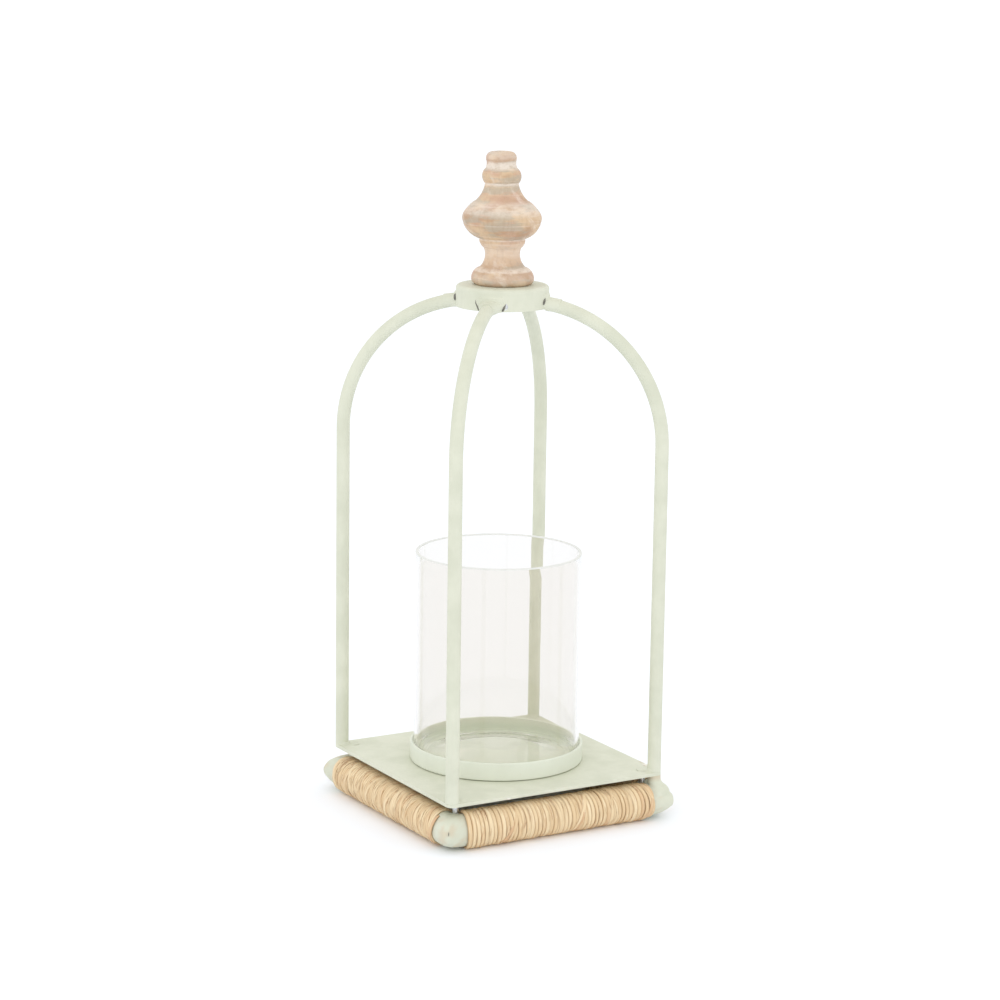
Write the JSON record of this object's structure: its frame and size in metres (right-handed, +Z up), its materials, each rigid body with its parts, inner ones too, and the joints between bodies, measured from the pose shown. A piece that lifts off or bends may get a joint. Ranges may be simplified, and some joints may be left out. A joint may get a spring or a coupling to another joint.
{
  "type": "hurricane candle lantern",
  "caption": "Hurricane candle lantern: a clear glass standing in a cup on a square plate, under an arched bar cage with a cap and a turned wooden finial, on a raffia-bound base ring.",
  "frame": {"origin": "centre of the base on the surface it stands on", "axes": "+Z up along the lantern's middle, towards the finial; -Y is the front side and +X the right side of the square base"},
  "size_m": [0.1608, 0.1608, 0.3955],
  "materials": {
    "sage_paint": "satin pale sage paint over steel",
    "raffia": "natural wound raffia",
    "bare_steel": "zinc plated screw",
    "whitewashed_wood": "turned wood, whitewashed",
    "clear_glass": "clear, polished"
  },
  "bodies": {
    "frame": {"base_rail_front": "sage_paint", "base_rail_right": "sage_paint", "base_rail_back": "sage_paint", "base_rail_left": "sage_paint", "base_plate": "sage_paint", "corner_weld": "sage_paint", "cage_rod_front_left": "sage_paint", "cage_rod_front_right": "sage_paint", "cage_rod_back_right": "sage_paint", "cage_rod_back_left": "sage_paint", "top_cap": "sage_paint", "glass_seat": "sage_paint", "raffia_wrap_front": "raffia", "raffia_wrap_right": "raffia", "raffia_wrap_back": "raffia", "raffia_wrap_left": "raffia", "corner_screws": "bare_steel", "finial_screw": "bare_steel", "finial_washer": "bare_steel", "finial": "whitewashed_wood"},
    "glass": {"hurricane_glass": "clear_glass"}
  },
  "joints": [
    {"name": "glass_lift", "type": "slide", "parent": "frame", "child": "glass", "axis": [0, 0, 1], "range_m": [0, 0.13]}
  ]
}
